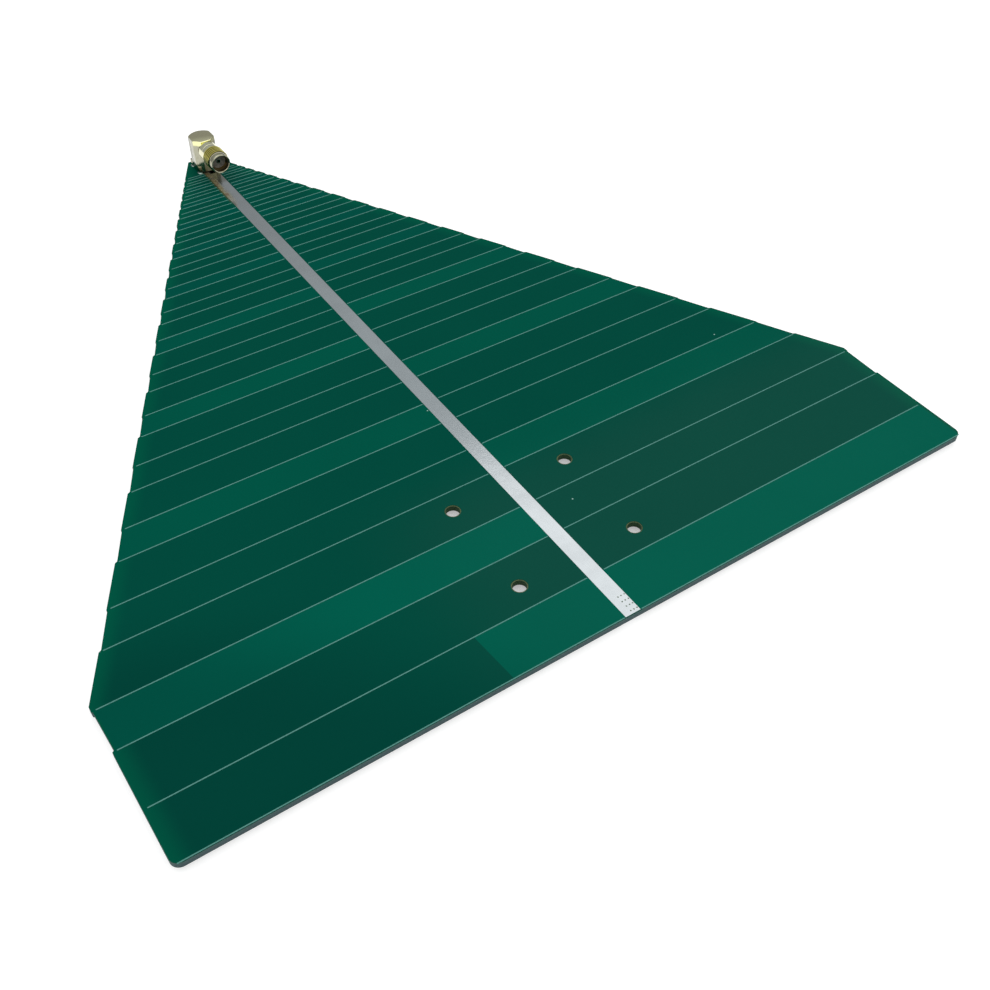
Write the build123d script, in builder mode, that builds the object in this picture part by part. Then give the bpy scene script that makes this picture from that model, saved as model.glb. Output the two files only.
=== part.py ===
from build123d import *
import os

# Log periodic antenna etched on a printed circuit board, fed by a right-angle coaxial jack.
# Millimetres, +Z up, +X along the boom towards the narrow end, +Y to the left of the boom.
# The origin is the middle of the four mounting holes, on the underside of the bare laminate.

os.makedirs("parts", exist_ok=True)

# Board outline
board_half_width = 100.0
rear_edge_x = -32.1
shoulder_x = 7.2
front_edge_x = 182.2
front_half_width = 3.5
rear_corner_radius = 2.0
recess_rear_depth = 0.45
recess_front_depth = 0.25
recess_run = 0.3

# Board layers
laminate_thickness = 1.4
copper_thickness = 0.07
mask_thickness = 0.03

# Mounting holes
hole_spacing_x = 26.0
hole_spacing_y = 30.5
mounting_hole_radius = 1.6
mask_relief = 0.25
relief_sides = 24

# Dipole array: each element's distance from the virtual apex is a fixed share of the last one's
element_count = 20
spacing_ratio = 0.8825
width_ratio = 0.0538
apex_lead = 10.9
array_inset = 1.0
rear_margin = 0.2
copper_edge_margin = 0.8
boom_width = 3.84
boom_front_margin = 0.5
stub_reach = 30.5
stub_taper = 1.0

# Shorting vias at the rear end of the boom
via_rows = 4
via_columns = 3
via_pitch_x = 1.44
via_pitch_y = 0.8
via_bore_radius = 0.2
via_wall = 0.05
via_sides = 6
via_inset_x = 3.18
via_offset_y = -0.82

# Printed outline of the elements
print_line_width = 0.25
print_thickness = 0.03
print_boom_gap = 0.3
print_edge_gap = 0.9

# Footprint of the jack
jack_inset = 4.9
leg_pitch = 5.08
leg_side = 0.9
leg_drill_radius = 0.8
pin_drill_radius = 0.7
drill_sides = 8
leg_pad_radius = 1.1
pin_pad_radius = 1.1
pad_sides = 12
pad_gap = 0.5
leg_tail = 1.3
solder_height = 0.7
top_solder_height = 0.4
solder_tip = 0.1

# Jack body
standoff = 0.6
base_side = 6.4
base_thickness = 1.6
body_half_width = 3.4
body_front_reach = 4.0
body_corner_reach = 1.2
body_rear_reach = 3.0
body_corner_cut = 1.8
body_height = 9.7
body_edge = 0.2
axis_height = 6.8
collar_radius = 2.85
collar_length = 2.4

# Jack barrel
thread_radius = 3.175
thread_length = 5.4
spigot_radius = 2.45
spigot_length = 2.4
groove_radius = 2.65
groove_length = 0.5
mouth_ring_radius = 2.9
mouth_ring_length = 1.5
mouth_edge = 0.3
mouth_bore_radius = 2.4
mouth_depth = 1.9
barrel_bore_radius = 2.05

# Contact, pin and insulators
contact_radius = 0.635
contact_bore_radius = 0.47
contact_bore_depth = 3.0
contact_slot = 0.22
contact_slot_depth = 2.4
contact_head_radius = 0.95
contact_head_length = 2.0
pin_radius = 0.45
pin_insulator_radius = 1.5
cavity_reach = 1.4

# Heights of the layers
copper_top = laminate_thickness + copper_thickness
board_top = copper_top + mask_thickness
copper_bottom = -copper_thickness
board_bottom = copper_bottom - mask_thickness
board_thickness = board_top - board_bottom

# Places along the boom
virtual_apex_x = front_edge_x + apex_lead
array_reach = virtual_apex_x - rear_edge_x - array_inset
boom_rear_x = rear_edge_x + rear_margin
boom_front_x = front_edge_x - boom_front_margin
via_x = rear_edge_x + via_inset_x
jack_x = front_edge_x - jack_inset
flank_slope = (board_half_width - front_half_width) / (front_edge_x - shoulder_x)

# Heights and places of the jack
base_bottom = board_top + standoff
body_top = base_bottom + body_height
axis_z = base_bottom + axis_height
tail_z = board_bottom - leg_tail
body_front_x = jack_x - body_front_reach
body_corner_x = jack_x + body_corner_reach
body_rear_x = jack_x + body_rear_reach
collar_end_x = body_front_x - collar_length
spigot_end_x = collar_end_x + spigot_length
thread_end_x = collar_end_x - thread_length
groove_end_x = thread_end_x - groove_length
mouth_x = groove_end_x - mouth_ring_length
recess_x = mouth_x + mouth_depth
head_rear_x = jack_x - contact_head_length / 2
head_front_x = jack_x + contact_head_length / 2
cavity_end_x = jack_x + cavity_reach
cavity_bottom = axis_z - barrel_bore_radius
pin_top = axis_z + contact_head_radius
jack_axis = Axis((0, 0, axis_z), (1, 0, 0))


def half_width_at(x):
    """Half the board's width at x, before the recesses."""
    if x <= shoulder_x:
        return board_half_width
    return board_half_width - (x - shoulder_x) * flank_slope


def element_span(number):
    """Rear and front edge of one element; the rearmost one runs on to the boom's end."""
    reach = array_reach * spacing_ratio**number
    rear = boom_rear_x if number == 0 else virtual_apex_x - reach
    front = virtual_apex_x - reach * (1 - width_ratio)
    return rear, front


def draw_polygon(points, mode=Mode.ADD):
    """Closed polygon in the current sketch."""
    with BuildLine() as edge_line:
        Polyline(*points, close=True)
    make_face(edge_line.edges(), mode=mode)


def draw_outline():
    """Board outline: straight rear part, tapering flanks and a shallow recess at each element's tip."""
    draw_polygon(
        [
            (rear_edge_x, -board_half_width),
            (shoulder_x, -board_half_width),
            (front_edge_x, -front_half_width),
            (front_edge_x, front_half_width),
            (shoulder_x, board_half_width),
            (rear_edge_x, board_half_width),
        ]
    )
    for number in range(1, element_count):
        rear, front = element_span(number)
        inner_rear = rear + recess_run
        inner_front = front - recess_run
        for side in (1, -1):
            draw_polygon(
                [
                    (rear, side * board_half_width * 2),
                    (rear, side * half_width_at(rear)),
                    (inner_rear, side * (half_width_at(inner_rear) - recess_rear_depth)),
                    (inner_front, side * (half_width_at(inner_front) - recess_front_depth)),
                    (front, side * half_width_at(front)),
                    (front, side * board_half_width * 2),
                ],
                Mode.SUBTRACT,
            )


def draw_leg_pads(mode=Mode.ADD):
    """Round pads of the jack's four legs."""
    with Locations((jack_x, 0)):
        with GridLocations(leg_pitch, leg_pitch, 2, 2):
            RegularPolygon(leg_pad_radius, pad_sides, mode=mode)


def draw_pin_pad(mode=Mode.ADD):
    """Round pad of the jack's centre pin."""
    with Locations((jack_x, 0)):
        RegularPolygon(pin_pad_radius, pad_sides, mode=mode)


def draw_leg_holes(mode=Mode.ADD):
    """Drilled holes of the four legs."""
    with Locations((jack_x, 0)):
        with GridLocations(leg_pitch, leg_pitch, 2, 2):
            RegularPolygon(leg_drill_radius, drill_sides, mode=mode)


def draw_pin_hole(mode=Mode.ADD):
    """Drilled hole of the centre pin."""
    with Locations((jack_x, 0)):
        RegularPolygon(pin_drill_radius, drill_sides, mode=mode)


def draw_leg_sections(mode=Mode.ADD):
    """Square sections of the four legs."""
    with Locations((jack_x, 0)):
        with GridLocations(leg_pitch, leg_pitch, 2, 2):
            Rectangle(leg_side, leg_side, mode=mode)


def draw_pin(radius, mode=Mode.ADD):
    """Circle round the centre pin's axis."""
    with Locations((jack_x, 0)):
        Circle(radius, mode=mode)


def draw_vias(radius, mode=Mode.ADD):
    """The shorting vias at one radius."""
    with Locations((via_x, via_offset_y)):
        with GridLocations(via_pitch_x, via_pitch_y, via_rows, via_columns):
            RegularPolygon(radius, via_sides, mode=mode)


def draw_mounting_holes():
    """The four mounting holes, taken out of the current sketch."""
    with GridLocations(hole_spacing_x, hole_spacing_y, 2, 2):
        Circle(mounting_hole_radius, mode=Mode.SUBTRACT)


def draw_mask_reliefs():
    """Openings of a mask round the mounting holes, taken out of the current sketch."""
    with GridLocations(hole_spacing_x, hole_spacing_y, 2, 2):
        RegularPolygon(mounting_hole_radius + mask_relief, relief_sides, mode=Mode.SUBTRACT)


def draw_drilled_holes():
    """Every plated hole, taken out of the current sketch at its drilled size."""
    draw_vias(via_bore_radius + via_wall, Mode.SUBTRACT)
    draw_leg_holes(Mode.SUBTRACT)
    draw_pin_hole(Mode.SUBTRACT)


def draw_strip(start_x, end_x, width):
    """Strip along the boom's centre line."""
    with Locations(((start_x + end_x) / 2, 0)):
        Rectangle(end_x - start_x, width)


def draw_half_elements(first_side):
    """Half-elements of one copper face; they change sides from one to the next."""
    for number in range(element_count):
        side = first_side * (-1) ** number
        rear, front = element_span(number)
        draw_polygon(
            [
                (rear, 0),
                (rear, side * (half_width_at(rear) - copper_edge_margin)),
                (front, side * (half_width_at(front) - copper_edge_margin)),
                (front, 0),
            ]
        )


def draw_top_boom():
    """Open boom of the upper face with the leg pads, clear of the centre pin."""
    draw_strip(boom_rear_x, boom_front_x, boom_width)
    draw_leg_pads()
    draw_pin_pad(Mode.SUBTRACT)


def draw_bottom_boom():
    """Open boom of the lower face, narrowed between the leg pads to reach the pin pad."""
    tongue_x = jack_x - leg_pitch / 2 - leg_pad_radius - pad_gap
    draw_strip(boom_rear_x, tongue_x, boom_width)
    draw_strip(tongue_x, jack_x, leg_pitch - 2 * (leg_pad_radius + pad_gap))
    draw_leg_pads()
    draw_pin_pad()


def draw_stub():
    """Left part of the rearmost element on the upper face, cut short with a slanted end."""
    rear, front = element_span(0)
    draw_polygon([(rear, 0), (rear, stub_reach - stub_taper), (front, stub_reach), (front, 0)])


# Laminate with its holes
with BuildPart() as laminate:
    with BuildSketch(Plane.XY) as outline_sketch:
        draw_outline()
        fillet(outline_sketch.vertices().group_by(Axis.X)[0], rear_corner_radius)
        draw_mounting_holes()
        draw_drilled_holes()
    extrude(amount=laminate_thickness)
laminate.part.label = "laminate"
export_step(laminate.part, "parts/laminate.step")

# Upper copper: half-elements starting on the right, stub on the left, boom thicker by its tin
with BuildPart() as top_copper:
    with BuildSketch(Plane.XY.offset(laminate_thickness)) as top_copper_sketch:
        draw_half_elements(-1)
        outer_corner = top_copper_sketch.vertices().group_by(Axis.X)[0].sort_by(Axis.Y)[0]
        fillet(outer_corner, rear_corner_radius)
        draw_stub()
        draw_top_boom()
        draw_drilled_holes()
    extrude(amount=copper_thickness)
    with BuildSketch(Plane.XY.offset(copper_top)):
        draw_top_boom()
        draw_drilled_holes()
    extrude(amount=mask_thickness)
top_copper.part.label = "top_copper"
export_step(top_copper.part, "parts/top_copper.step")

# Lower copper: half-elements starting on the left, pads, boom thicker by its tin
with BuildPart() as bottom_copper:
    with BuildSketch(Plane.XY.offset(copper_bottom)) as bottom_copper_sketch:
        draw_half_elements(1)
        outer_corner = bottom_copper_sketch.vertices().group_by(Axis.X)[0].sort_by(Axis.Y)[-1]
        fillet(outer_corner, rear_corner_radius)
        draw_bottom_boom()
        draw_drilled_holes()
    extrude(amount=copper_thickness)
    with BuildSketch(Plane.XY.offset(board_bottom)):
        draw_bottom_boom()
        draw_drilled_holes()
    extrude(amount=mask_thickness)
bottom_copper.part.label = "bottom_copper"
export_step(bottom_copper.part, "parts/bottom_copper.step")

# Upper solder mask, over and around the copper, open along the boom and round the pads
with BuildPart() as top_mask:
    with BuildSketch(Plane.XY.offset(laminate_thickness)) as mask_sketch:
        draw_outline()
        fillet(mask_sketch.vertices().group_by(Axis.X)[0], rear_corner_radius)
        draw_mask_reliefs()
    extrude(amount=board_top - laminate_thickness)
    add(top_copper.part, mode=Mode.SUBTRACT)
    with BuildSketch(Plane.XY.offset(laminate_thickness)):
        draw_strip(boom_rear_x, boom_front_x, boom_width)
        draw_leg_pads()
    extrude(amount=board_top - laminate_thickness, mode=Mode.SUBTRACT)
top_mask.part.label = "top_mask"
export_step(top_mask.part, "parts/top_mask.step")

# Lower solder mask, over and around the copper, open along the boom and round the pads
with BuildPart() as bottom_mask:
    with BuildSketch(Plane.XY.offset(board_bottom)) as mask_sketch:
        draw_outline()
        fillet(mask_sketch.vertices().group_by(Axis.X)[0], rear_corner_radius)
        draw_mask_reliefs()
    extrude(amount=-board_bottom)
    add(bottom_copper.part, mode=Mode.SUBTRACT)
    with BuildSketch(Plane.XY.offset(board_bottom)):
        draw_bottom_boom()
    extrude(amount=-board_bottom, mode=Mode.SUBTRACT)
bottom_mask.part.label = "bottom_mask"
export_step(bottom_mask.part, "parts/bottom_mask.step")

# Printed lines along the rear and front edge of every element, on both sides of the boom
with BuildPart() as outline_print:
    with BuildSketch(Plane.XY.offset(board_top)):
        for number in range(element_count):
            for edge_x in element_span(number):
                line_start = boom_width / 2 + print_boom_gap
                line_end = half_width_at(edge_x) - print_edge_gap
                with Locations(
                    (edge_x, (line_start + line_end) / 2),
                    (edge_x, -(line_start + line_end) / 2),
                ):
                    Rectangle(print_line_width, line_end - line_start)
    extrude(amount=print_thickness)
outline_print.part.label = "outline_print"
export_step(outline_print.part, "parts/outline_print.step")

# Plated vias that join the two booms
with BuildPart() as rear_vias:
    with BuildSketch(Plane.XY.offset(board_bottom)):
        draw_vias(via_bore_radius + via_wall)
        draw_vias(via_bore_radius, Mode.SUBTRACT)
    extrude(amount=board_thickness)
rear_vias.part.label = "rear_vias"
export_step(rear_vias.part, "parts/rear_vias.step")

# Jack body: column with a bowed rear face on a square base, collar towards the barrel, four legs
with BuildPart() as jack_body:
    with BuildSketch(Plane.XY.offset(base_bottom)):
        with BuildLine():
            Polyline(
                (body_corner_x, -body_half_width),
                (body_front_x + body_corner_cut, -body_half_width),
                (body_front_x, -body_half_width + body_corner_cut),
                (body_front_x, body_half_width - body_corner_cut),
                (body_front_x + body_corner_cut, body_half_width),
                (body_corner_x, body_half_width),
            )
            ThreePointArc(
                (body_corner_x, body_half_width),
                (body_rear_x, 0),
                (body_corner_x, -body_half_width),
            )
        make_face()
    extrude(amount=body_height)
    chamfer(jack_body.edges().group_by(Axis.Z)[-1], body_edge)
    with BuildSketch(Plane.XY.offset(base_bottom)):
        with Locations((jack_x, 0)):
            Rectangle(base_side, base_side)
    extrude(amount=base_thickness)
    with BuildSketch(Plane.YZ.offset(collar_end_x)):
        with Locations((0, axis_z)):
            Circle(collar_radius)
    extrude(amount=collar_length + body_corner_cut)
    with BuildSketch(Plane.YZ.offset(collar_end_x)):
        with Locations((0, axis_z)):
            Circle(spigot_radius)
    extrude(amount=spigot_length, mode=Mode.SUBTRACT)
    with BuildSketch(Plane.YZ.offset(collar_end_x)):
        with Locations((0, axis_z)):
            Circle(barrel_bore_radius)
    extrude(amount=cavity_end_x - collar_end_x, mode=Mode.SUBTRACT)
    with BuildSketch(Plane.XY.offset(base_bottom)):
        draw_pin(pin_insulator_radius)
    extrude(amount=axis_height, mode=Mode.SUBTRACT)
    with BuildSketch(Plane.XY.offset(tail_z)):
        draw_leg_sections()
    extrude(amount=base_bottom - tail_z)
jack_body.part.label = "jack_body"
export_step(jack_body.part, "parts/jack_body.step")

# Jack barrel: spigot, threaded part, groove and mouth ring, turned in one piece
with BuildPart() as jack_barrel:
    with BuildSketch(Plane.XZ):
        with BuildLine():
            Polyline(
                (spigot_end_x, axis_z + barrel_bore_radius),
                (spigot_end_x, axis_z + spigot_radius),
                (collar_end_x, axis_z + spigot_radius),
                (collar_end_x, axis_z + thread_radius),
                (thread_end_x, axis_z + thread_radius),
                (thread_end_x, axis_z + groove_radius),
                (groove_end_x, axis_z + groove_radius),
                (groove_end_x, axis_z + mouth_ring_radius),
                (mouth_x + mouth_edge, axis_z + mouth_ring_radius),
                (mouth_x, axis_z + mouth_ring_radius - mouth_edge),
                (mouth_x, axis_z + mouth_bore_radius),
                (recess_x, axis_z + mouth_bore_radius),
                (recess_x, axis_z + barrel_bore_radius),
                close=True,
            )
        make_face()
    revolve(axis=jack_axis)
jack_barrel.part.label = "jack_barrel"
export_step(jack_barrel.part, "parts/jack_barrel.step")

# Insulator of the barrel
with BuildPart() as barrel_insulator:
    with BuildSketch(Plane.YZ.offset(recess_x)):
        with Locations((0, axis_z)):
            Circle(barrel_bore_radius)
            Circle(contact_radius, mode=Mode.SUBTRACT)
    extrude(amount=head_rear_x - recess_x)
barrel_insulator.part.label = "barrel_insulator"
export_step(barrel_insulator.part, "parts/barrel_insulator.step")

# Centre contact: slotted socket at the mouth, head bored across for the pin
with BuildPart() as centre_contact:
    with BuildSketch(Plane.YZ.offset(recess_x)):
        with Locations((0, axis_z)):
            Circle(contact_radius)
    extrude(amount=head_rear_x - recess_x)
    with BuildSketch(Plane.YZ.offset(head_rear_x)):
        with Locations((0, axis_z)):
            Circle(contact_head_radius)
    extrude(amount=contact_head_length)
    with BuildSketch(Plane.YZ.offset(recess_x)):
        with Locations((0, axis_z)):
            Circle(contact_bore_radius)
    extrude(amount=contact_bore_depth, mode=Mode.SUBTRACT)
    with BuildSketch(Plane.YZ.offset(recess_x)):
        with Locations((0, axis_z)):
            Rectangle(contact_slot, contact_radius * 2)
            Rectangle(contact_radius * 2, contact_slot)
    extrude(amount=contact_slot_depth, mode=Mode.SUBTRACT)
    with BuildSketch(Plane.XY.offset(axis_z - contact_head_radius)):
        draw_pin(pin_radius)
    extrude(amount=contact_head_radius * 2, mode=Mode.SUBTRACT)
centre_contact.part.label = "centre_contact"
export_step(centre_contact.part, "parts/centre_contact.step")

# Insulator of the pin
with BuildPart() as pin_insulator:
    with BuildSketch(Plane.XY.offset(base_bottom)):
        draw_pin(pin_insulator_radius)
        draw_pin(pin_radius, Mode.SUBTRACT)
    extrude(amount=cavity_bottom - base_bottom)
pin_insulator.part.label = "pin_insulator"
export_step(pin_insulator.part, "parts/pin_insulator.step")

# Centre pin, from the contact down through the board
with BuildPart() as feed_pin:
    with BuildSketch(Plane.XY.offset(tail_z)):
        draw_pin(pin_radius)
    extrude(amount=pin_top - tail_z)
feed_pin.part.label = "feed_pin"
export_step(feed_pin.part, "parts/feed_pin.step")

# Solder at the legs: filled hole with a cone on each face
with BuildPart() as leg_solder:
    with BuildSketch(Plane.XY.offset(board_bottom)):
        draw_leg_holes()
    extrude(amount=board_thickness)
    for level, height in ((board_top, top_solder_height), (board_bottom, -solder_height)):
        for leg_x in (jack_x - leg_pitch / 2, jack_x + leg_pitch / 2):
            for leg_y in (-leg_pitch / 2, leg_pitch / 2):
                with BuildSketch(Plane.XY.offset(level)):
                    with Locations((leg_x, leg_y)):
                        RegularPolygon(leg_pad_radius, pad_sides)
                with BuildSketch(Plane.XY.offset(level + height)):
                    with Locations((leg_x, leg_y)):
                        RegularPolygon(leg_side / 2**0.5 + solder_tip, pad_sides)
                loft()
    with BuildSketch(Plane.XY.offset(tail_z)):
        draw_leg_sections()
    extrude(amount=base_bottom - tail_z, mode=Mode.SUBTRACT)
leg_solder.part.label = "leg_solder"
export_step(leg_solder.part, "parts/leg_solder.step")

# Solder at the pin: filled hole with a cone on the lower face
with BuildPart() as pin_solder:
    with BuildSketch(Plane.XY.offset(board_bottom)):
        draw_pin_hole()
    extrude(amount=board_thickness)
    with BuildSketch(Plane.XY.offset(board_bottom)):
        draw_pin_pad()
    with BuildSketch(Plane.XY.offset(board_bottom - solder_height)):
        with Locations((jack_x, 0)):
            RegularPolygon(pin_radius + solder_tip, pad_sides)
    loft()
    with BuildSketch(Plane.XY.offset(tail_z)):
        draw_pin(pin_radius)
    extrude(amount=pin_top - tail_z, mode=Mode.SUBTRACT)
pin_solder.part.label = "pin_solder"
export_step(pin_solder.part, "parts/pin_solder.step")
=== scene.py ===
"""Looks of a log periodic antenna on a circuit board, fed by a right-angle coaxial jack."""

import enum
import logging
import math
from dataclasses import dataclass, field
from typing import Any

import bmesh
import bpy
from mathutils import Matrix, Vector


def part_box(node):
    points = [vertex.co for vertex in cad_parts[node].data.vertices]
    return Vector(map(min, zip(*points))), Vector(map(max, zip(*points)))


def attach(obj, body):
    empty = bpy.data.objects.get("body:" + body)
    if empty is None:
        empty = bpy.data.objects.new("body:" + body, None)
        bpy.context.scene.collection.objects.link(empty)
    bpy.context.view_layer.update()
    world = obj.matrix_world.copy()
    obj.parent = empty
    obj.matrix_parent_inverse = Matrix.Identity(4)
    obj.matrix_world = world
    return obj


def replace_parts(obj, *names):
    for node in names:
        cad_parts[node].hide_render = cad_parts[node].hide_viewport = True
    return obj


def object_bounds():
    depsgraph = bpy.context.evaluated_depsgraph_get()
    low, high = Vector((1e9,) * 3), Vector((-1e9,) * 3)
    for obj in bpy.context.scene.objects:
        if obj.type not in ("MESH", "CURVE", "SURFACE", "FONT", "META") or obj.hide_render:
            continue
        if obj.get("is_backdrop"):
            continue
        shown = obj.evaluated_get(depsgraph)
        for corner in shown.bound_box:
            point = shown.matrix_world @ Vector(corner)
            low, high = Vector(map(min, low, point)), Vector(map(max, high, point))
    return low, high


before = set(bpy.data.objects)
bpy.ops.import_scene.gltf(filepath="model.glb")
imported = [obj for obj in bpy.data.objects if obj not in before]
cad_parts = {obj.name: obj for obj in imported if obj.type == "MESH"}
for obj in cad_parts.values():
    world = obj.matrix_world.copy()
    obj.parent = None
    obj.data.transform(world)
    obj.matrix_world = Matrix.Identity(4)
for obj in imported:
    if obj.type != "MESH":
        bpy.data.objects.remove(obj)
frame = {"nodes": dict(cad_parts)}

LOG = logging.getLogger("antenna")
MM = 0.001
ROOT = "root"
WELD_MM = 0.0005
SMOOTH_BELOW = math.radians(40.0)
Colour = tuple[float, float, float]
Point = tuple[float, float, float]
Span = tuple[float, float]
BLACK: Colour = (0.0, 0.0, 0.0)
WHITE: Colour = (1.0, 1.0, 1.0)


class Slot(enum.Enum):
    """Material slots of the record."""

    LAMINATE = "laminate"
    MASK = "mask"
    TIN = "tin"
    PRINT = "print"
    GOLD = "gold"
    INSULATOR = "insulator"
    SOLDER = "solder"


class Face(enum.Enum):
    """The two faces of the board; the value is the side on which the even half-elements lie."""

    UPPER = -1
    LOWER = 1


class Wire:
    """One output socket of a node tree, with Python's arithmetic."""

    def __init__(self, graph: "Graph", socket: bpy.types.NodeSocket) -> None:
        """Keeps the graph and the socket."""
        self.graph = graph
        self.socket = socket

    def maths(self, operation: str, *values: Any) -> "Wire":
        """Adds one Math node.

        Args:
            operation: the node's operation.
            values: its inputs in order, wires or numbers.

        Returns:
            The node's result.
        """
        sockets = dict(enumerate(values))
        return self.graph.node("ShaderNodeMath", {"operation": operation}, sockets)

    def __add__(self, other: Any) -> "Wire":
        """Sum."""
        return self.maths("ADD", self, other)

    __radd__ = __add__

    def __mul__(self, other: Any) -> "Wire":
        """Product."""
        return self.maths("MULTIPLY", self, other)

    __rmul__ = __mul__

    def __sub__(self, other: Any) -> "Wire":
        """Difference."""
        return self.maths("SUBTRACT", self, other)

    def __rsub__(self, other: Any) -> "Wire":
        """Difference, the other way round."""
        return self.maths("SUBTRACT", other, self)

    def __truediv__(self, other: Any) -> "Wire":
        """Quotient."""
        return self.maths("DIVIDE", self, other)

    def __rtruediv__(self, other: Any) -> "Wire":
        """Quotient, the other way round."""
        return self.maths("DIVIDE", other, self)

    def __lt__(self, other: Any) -> "Wire":
        """1 where this is less than the other, else 0."""
        return self.maths("LESS_THAN", self, other)

    def __gt__(self, other: Any) -> "Wire":
        """1 where this is more than the other, else 0."""
        return self.maths("GREATER_THAN", self, other)

    def __mod__(self, other: Any) -> "Wire":
        """Remainder, never negative."""
        return self.maths("FLOORED_MODULO", self, other)

    def __abs__(self) -> "Wire":
        """Absolute value."""
        return self.maths("ABSOLUTE", self)

    def floor(self) -> "Wire":
        """Whole part."""
        return self.maths("FLOOR", self)

    def log(self, base: float) -> "Wire":
        """Logarithm to a base."""
        return self.maths("LOGARITHM", self, base)

    def least(self, other: Any) -> "Wire":
        """The smaller of this and the other."""
        return self.maths("MINIMUM", self, other)

    def most(self, other: Any) -> "Wire":
        """The larger of this and the other."""
        return self.maths("MAXIMUM", self, other)

    def root(self) -> "Wire":
        """Square root."""
        return self.maths("SQRT", self)

    def sine(self) -> "Wire":
        """Sine of an angle in radians."""
        return self.maths("SINE", self)

    def fade(self, low: float, high: float) -> "Wire":
        """Rises smoothly from 0 at low to 1 at high."""
        sockets = {"Value": self, "From Min": low, "From Max": high}
        settings = {"interpolation_type": "SMOOTHSTEP"}
        return self.graph.node("ShaderNodeMapRange", settings, sockets)


class Graph:
    """A material's or the world's node tree, built node by node."""

    def __init__(self, tree: bpy.types.NodeTree) -> None:
        """Empties the tree."""
        self.tree = tree
        tree.nodes.clear()

    def node(
        self,
        kind: str,
        settings: dict[str, Any] | None = None,
        sockets: dict[Any, Any] | None = None,
        output: Any = 0,
    ) -> Wire:
        """Adds a node of any type.

        Args:
            kind: the node's type.
            settings: its properties, set before its sockets.
            sockets: values or wires by input name or number.
            output: which output to hand back.

        Returns:
            The chosen output.
        """
        made = self.tree.nodes.new(kind)
        for name, value in (settings or {}).items():
            setattr(made, name, value)
        for name, value in (sockets or {}).items():
            if isinstance(value, Wire):
                self.tree.links.new(value.socket, made.inputs[name])
            else:
                made.inputs[name].default_value = self.fitted(made.inputs[name], value)
        found = made.outputs[output] if len(made.outputs) else made.inputs[0]
        return Wire(self, found)

    @staticmethod
    def fitted(socket: bpy.types.NodeSocket, value: Any) -> Any:
        """Gives a colour its fourth number where the socket wants one."""
        if socket.type == "RGBA" and len(value) == 3:
            return (*value, 1.0)
        return value

    def coordinates(self) -> tuple[Wire, Wire, Wire]:
        """The surface point along X, Y and Z, in millimetres of the row frame."""
        point = self.point()
        axes = [self.node("ShaderNodeSeparateXYZ", None, {0: point}, name) for name in "XYZ"]
        return axes[0] / MM, axes[1] / MM, axes[2] / MM

    def point(self) -> Wire:
        """The surface point in metres of the row frame."""
        return self.node("ShaderNodeTexCoord", None, None, "Object")

    def noise(self, size_mm: float, detail: float = 3.0, roughness: float = 0.5) -> Wire:
        """Noise with features of a given size.

        Args:
            size_mm: size of the largest features.
            detail: number of finer layers.
            roughness: strength of the finer layers.

        Returns:
            A value round 0.5.
        """
        sockets = {
            "Vector": self.point(),
            "Scale": 1.0 / (size_mm * MM),
            "Detail": detail,
            "Roughness": roughness,
        }
        return self.node("ShaderNodeTexNoise", {"noise_dimensions": "3D"}, sockets)

    def mix(self, factor: Any, low: Any, high: Any) -> Wire:
        """Blends two colours.

        Args:
            factor: 0 gives low and 1 gives high.
            low: colour or wire.
            high: colour or wire.

        Returns:
            The blended colour.
        """
        settings = {"data_type": "RGBA"}
        return self.node("ShaderNodeMix", settings, {0: factor, 6: low, 7: high}, 2)

    def seen(self) -> Wire:
        """1 for rays of the camera and for those that metal and glass send on, else 0."""
        names = ("Is Camera Ray", "Is Glossy Ray", "Is Transmission Ray")
        rays = [self.node("ShaderNodeLightPath", None, None, name) for name in names]
        return rays[0].most(rays[1]).most(rays[2])

    def bump(self, height: Wire, depth_mm: float, strength: float = 1.0) -> Wire:
        """Bump for a shader's Normal.

        Args:
            height: relief, 0 to 1.
            depth_mm: depth of the full relief.
            strength: share of it that shows.

        Returns:
            The bent normal.
        """
        sockets = {"Height": height, "Distance": depth_mm * MM, "Strength": strength}
        return self.node("ShaderNodeBump", None, sockets)

    def shader(self, **sockets: Any) -> Wire:
        """Adds the Principled shader; underscores in the names stand for blanks."""
        named = {name.replace("_", " "): value for name, value in sockets.items()}
        return self.node("ShaderNodeBsdfPrincipled", None, named)

    def close(self, surface: Wire, kind: str = "ShaderNodeOutputMaterial") -> None:
        """Feeds the output node."""
        self.node(kind, None, {"Surface": surface})


@dataclass(frozen=True)
class Finish:
    """A finish with a procedural material; each kind says what its nodes are."""

    name: str
    slot: Slot | None = None

    def paint(self, graph: Graph) -> Wire:
        """Builds the shader in the graph and returns it."""
        raise NotImplementedError

    def material(self) -> bpy.types.Material:
        """Makes the material once and returns it after that."""
        known = bpy.data.materials.get(self.name)
        if known:
            return known
        made = bpy.data.materials.new(self.name)
        made.use_nodes = True
        graph = Graph(made.node_tree)
        graph.close(self.paint(graph))
        return made

    def dress(self, piece: bpy.types.Object) -> None:
        """Puts the material on every slot of a piece."""
        if not piece.data.materials:
            piece.data.materials.append(self.material())
        for place in range(len(piece.data.materials)):
            piece.data.materials[place] = self.material()
        LOG.info("%s is finished in %s", piece.name, self.name)


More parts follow.
